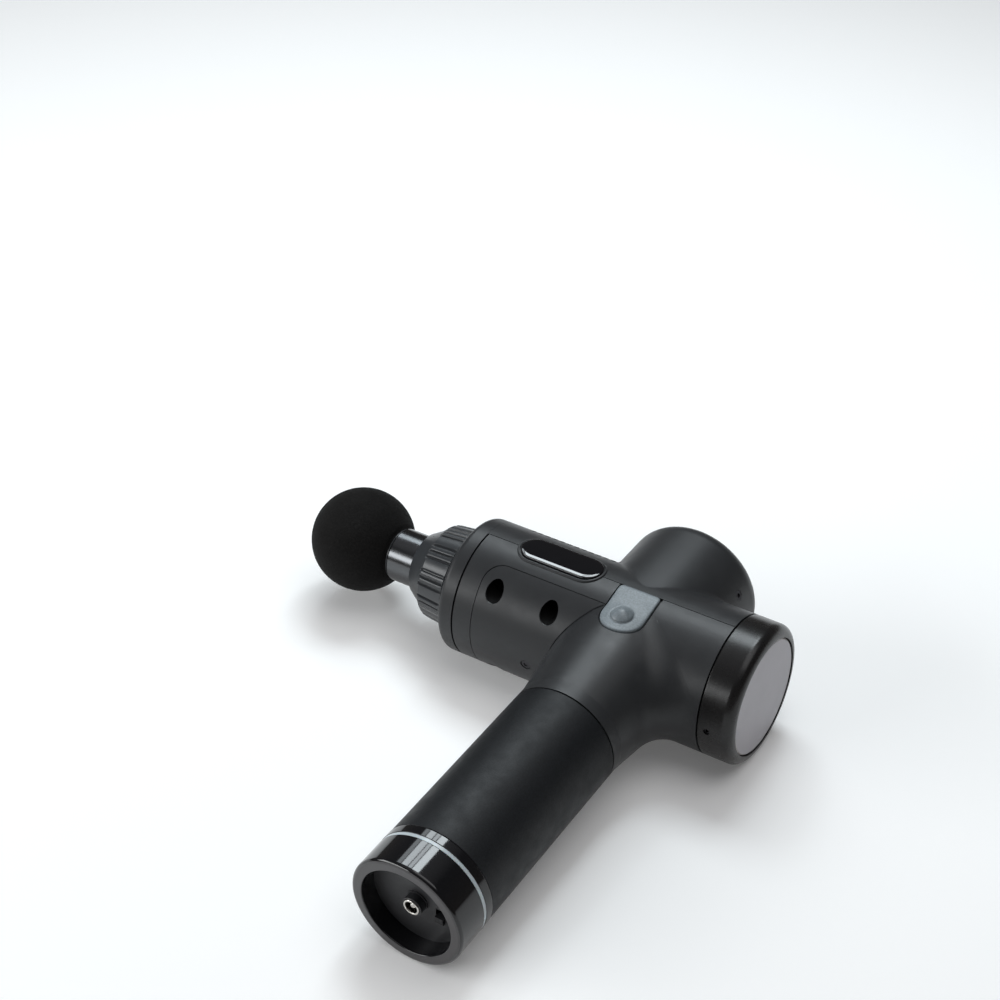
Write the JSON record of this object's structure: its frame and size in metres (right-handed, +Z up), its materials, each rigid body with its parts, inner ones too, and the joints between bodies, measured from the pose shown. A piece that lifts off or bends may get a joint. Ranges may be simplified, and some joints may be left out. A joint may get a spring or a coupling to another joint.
{
  "type": "massage gun",
  "caption": "Cordless massage gun with a foam ball head, straight barrel, motor housing, round display end and a cylindrical battery handle, lying on its side.",
  "frame": {"origin": "on the surface the gun lies on, under the middle of its bounding box", "axes": "+Z up; the barrel runs along X with the ball head at -X and the display at +X; the handle points to -Y, tilted 2.1 degrees down so that the base's rim touches the surface; the motor housing is at +Y"},
  "size_m": [0.239, 0.2406, 0.0663],
  "materials": {
    "body_plastic": "soft-touch charcoal, fine satin",
    "collar_plastic": "satin",
    "ring_plastic": "satin black",
    "shaft_metal": "dark polished",
    "steel": "ground",
    "screw_black": "black oxide",
    "aluminium": "machined",
    "bronze": "sintered",
    "foam": "matt foam",
    "seal_rubber": "matt",
    "grip_rubber": "fine matt grain",
    "tab_rubber": "soft matt grey",
    "gloss_black": "high gloss",
    "lens_black": "domed high gloss",
    "light_white": "translucent white",
    "display_grey": "silver grey, semi-matt",
    "inner_plastic": "moulded",
    "pcb": "solder mask",
    "chips": "moulded",
    "copper": "enamelled",
    "laminations": "laminated",
    "magnet": "nickel plated",
    "cell_wrap": "shrink sleeve",
    "nickel": "plated",
    "wire_red": "PVC",
    "wire_blue": "PVC"
  },
  "bodies": {
    "body": {"upper_shell": "body_plastic", "lower_shell": "body_plastic", "barrel_panel": "body_plastic", "panel_screw": "screw_black", "shell_screws": "screw_black", "badge_bezel": "body_plastic", "badge_lens": "lens_black", "thumb_tab": "tab_rubber", "button_switch": "chips", "nose_collar": "collar_plastic", "wiper_seal": "seal_rubber", "guide_housing": "aluminium", "guide_bushes": "bronze", "guide_screws": "steel", "motor_bearings": "steel", "motor_mount": "aluminium", "mount_screws": "steel", "stator_core": "laminations", "stator_coils": "copper", "motor_shroud": "inner_plastic", "shroud_screws": "screw_black", "rear_ring": "ring_plastic", "ring_grub_screws": "screw_black", "display_lens": "display_grey", "display_frame": "inner_plastic", "display_board": "pcb", "controller_board": "pcb", "controller_parts": "chips", "handle_tube": "inner_plastic", "grip_sleeve": "grip_rubber", "base_collar": "gloss_black", "light_ring": "light_white", "base_cap": "gloss_black", "base_plate": "inner_plastic", "charge_jack": "inner_plastic", "jack_ring": "nickel", "jack_pin": "nickel", "power_switch": "inner_plastic", "led_board": "pcb", "battery_cells": "cell_wrap", "cell_holders": "inner_plastic", "battery_board": "pcb", "battery_leads": "wire_red", "motor_leads": "wire_blue"},
    "rotor": {"crank_disc": "steel", "counterweight": "steel", "motor_axle": "steel", "rotor_bell": "steel", "rotor_magnets": "magnet"},
    "shaft": {"output_shaft": "shaft_metal", "wrist_pin": "steel"},
    "rod": {"con_rod": "aluminium", "rod_bush": "bronze", "crank_bearing": "steel", "crank_pin": "steel"},
    "head": {"foam_ball": "foam", "head_core": "collar_plastic", "head_o_rings": "seal_rubber"},
    "button": {"thumb_button": "tab_rubber"},
    "switch": {"power_slider": "inner_plastic"}
  },
  "joints": [
    {"name": "rotor_spin", "type": "hinge", "parent": "body", "child": "rotor", "pos_m": [0.058, 0.07192, 0.03277], "axis": [0, 0.9993, 0.0367], "continuous": true},
    {"name": "shaft_stroke", "type": "slide", "parent": "body", "child": "shaft", "axis": [-1, 0, 0], "range_m": [0, 0.012]},
    {"name": "rod_swing", "type": "hinge", "parent": "shaft", "child": "rod", "pos_m": [0.019, 0.06192, 0.0324], "axis": [0, 0.9993, 0.0367], "range_deg": [-7.66, 7.66]},
    {"name": "head_pull", "type": "slide", "parent": "shaft", "child": "head", "axis": [-1, 0, 0], "range_m": [0, 0.036]},
    {"name": "thumb_button_press", "type": "slide", "parent": "body", "child": "button", "axis": [0, 0.0367, -0.9993], "range_m": [0, 0.0008], "stiffness_N_per_m": 1500, "springref_m": -0.0005},
    {"name": "power_switch_slide", "type": "slide", "parent": "body", "child": "switch", "axis": [0, -0.0367, 0.9993], "range_m": [0, 0.003]}
  ]
}
